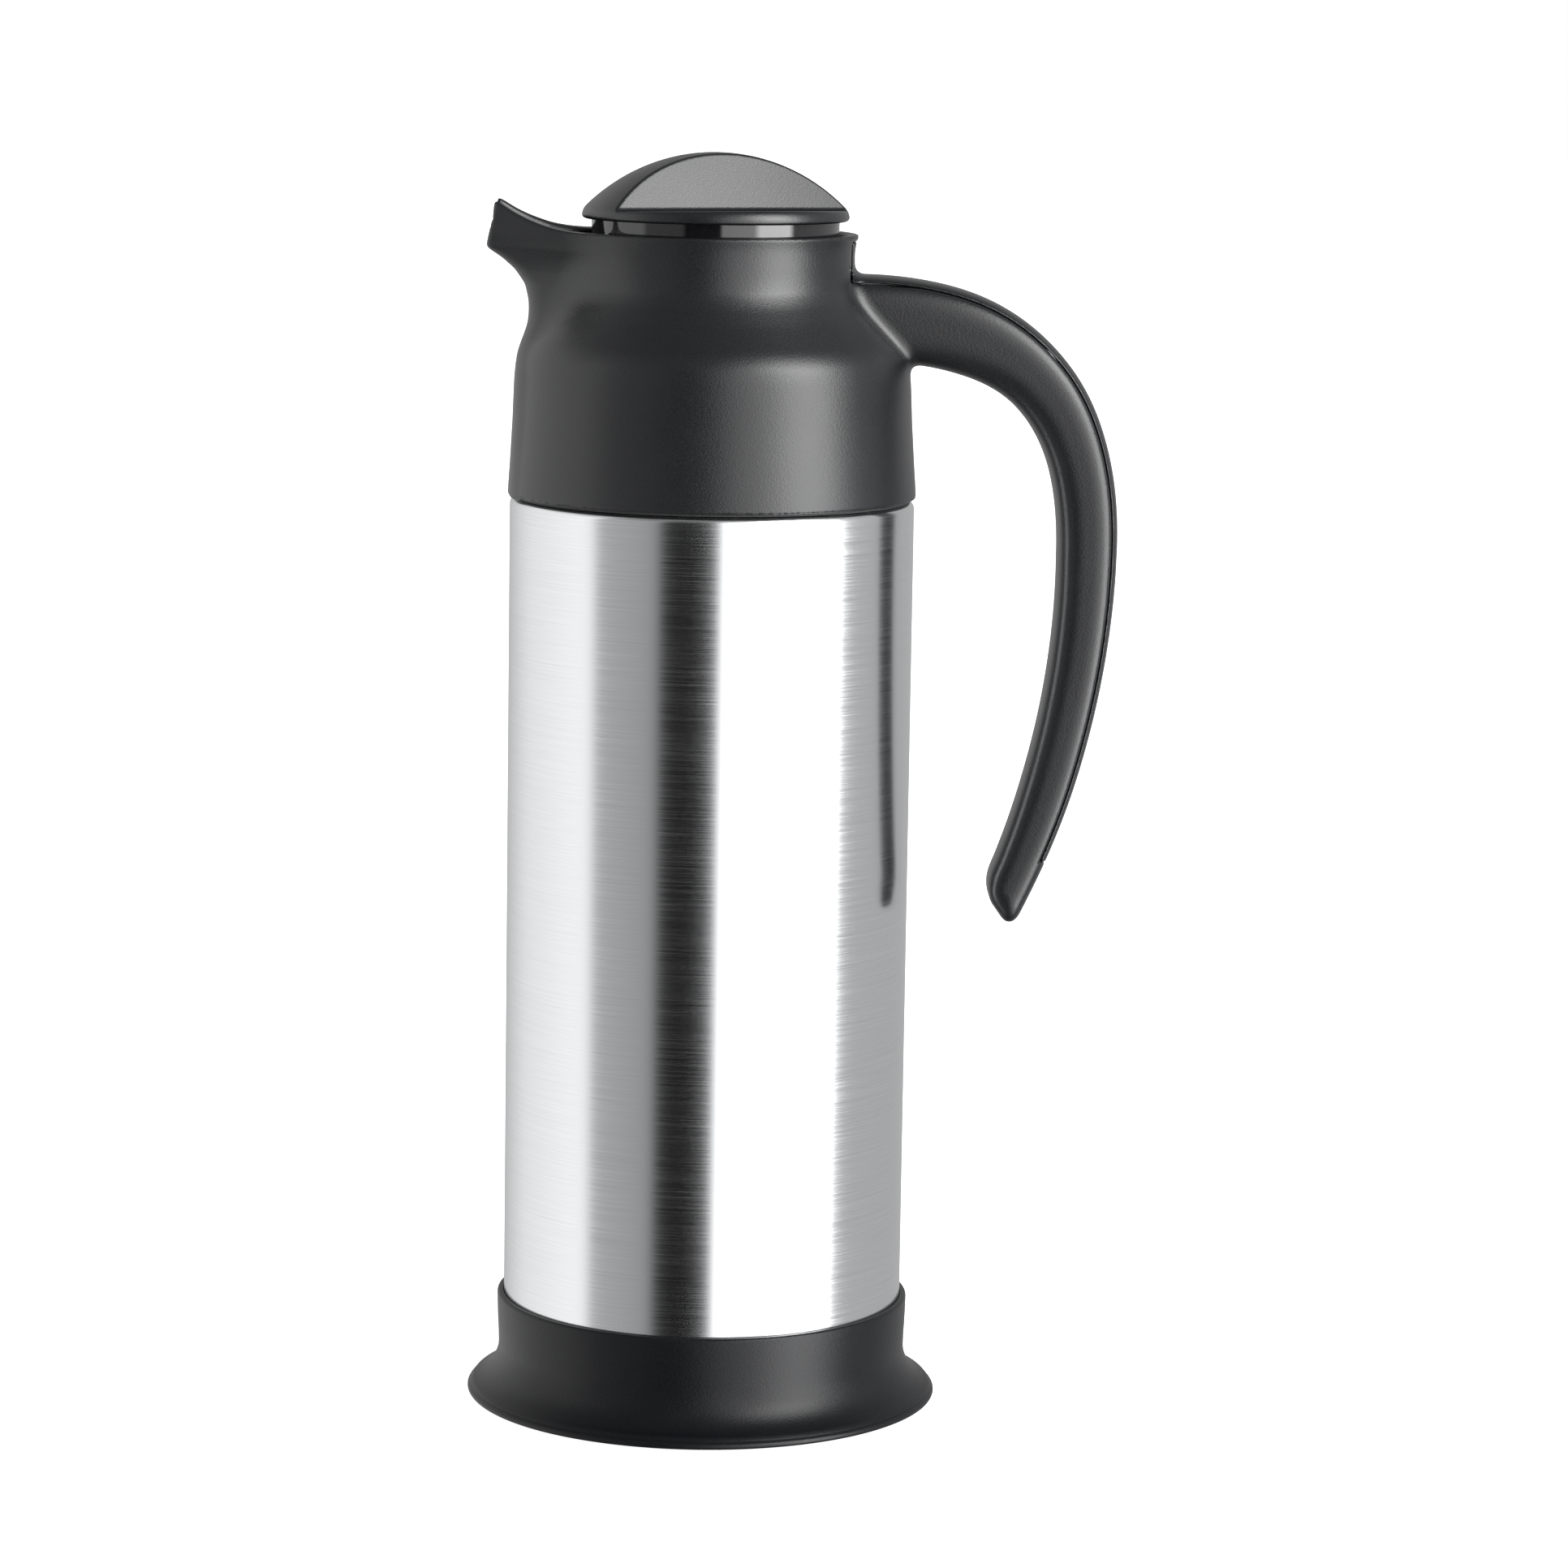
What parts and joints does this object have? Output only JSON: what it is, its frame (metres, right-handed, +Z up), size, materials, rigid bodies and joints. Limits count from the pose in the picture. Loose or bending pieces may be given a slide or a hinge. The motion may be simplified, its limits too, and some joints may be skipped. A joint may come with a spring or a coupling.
{
  "type": "insulated serving flask",
  "caption": "Double-walled steel serving flask with a pouring spout, an open-ended handle, a flared base and a screw stopper.",
  "frame": {"origin": "on the flask's axis, on the surface it stands on (the underside of the foot pad)", "axes": "+Z up along the flask's axis, -X towards the spout's tip, +X towards the handle"},
  "size_m": [0.1434, 0.1062, 0.2811],
  "materials": {
    "steel": "brushed round the body",
    "plain_steel": "drawn, dull",
    "satin_black": "fine moulded texture",
    "cap_black": "satin",
    "gloss_black": "gloss",
    "seal_black": "matt",
    "silicone": "matt",
    "foam": "fine foam",
    "getter_metal": "sintered",
    "solder": "dull"
  },
  "bodies": {
    "root": {"outer_shell": "steel", "shell_neck": "plain_steel", "shell_bottom": "plain_steel", "inner_liner": "plain_steel", "liner_neck": "plain_steel", "liner_bottom": "plain_steel", "getter": "getter_metal", "vacuum_seal": "solder", "seal_cover": "gloss_black", "shoulder": "satin_black", "spout": "satin_black", "shoulder_gasket": "seal_black", "neck_insert": "satin_black", "neck_gasket": "silicone", "handle": "satin_black", "handle_cover": "satin_black", "base_ring": "satin_black", "base_pad": "silicone", "base_cover": "satin_black", "foot_pad": "seal_black"},
    "seal_carrier": {"stopper_gasket": "silicone"},
    "stopper": {"stopper_cap": "cap_black", "stopper_body": "gloss_black", "stopper_foam": "foam", "gasket_retainer": "gloss_black"}
  },
  "joints": [
    {"name": "stopper_lift", "type": "slide", "parent": "root", "child": "seal_carrier", "axis": [0, 0, 1], "range_m": [0, 0.036]},
    {"name": "stopper_turn", "type": "hinge", "parent": "seal_carrier", "child": "stopper", "pos_m": [0, 0, 0.24], "axis": [0, 0, 1], "range_deg": [0, 720]}
  ],
  "couplings": [
    {"joint": "stopper_turn", "follows": "stopper_lift", "rad_per_m": 349.07}
  ]
}
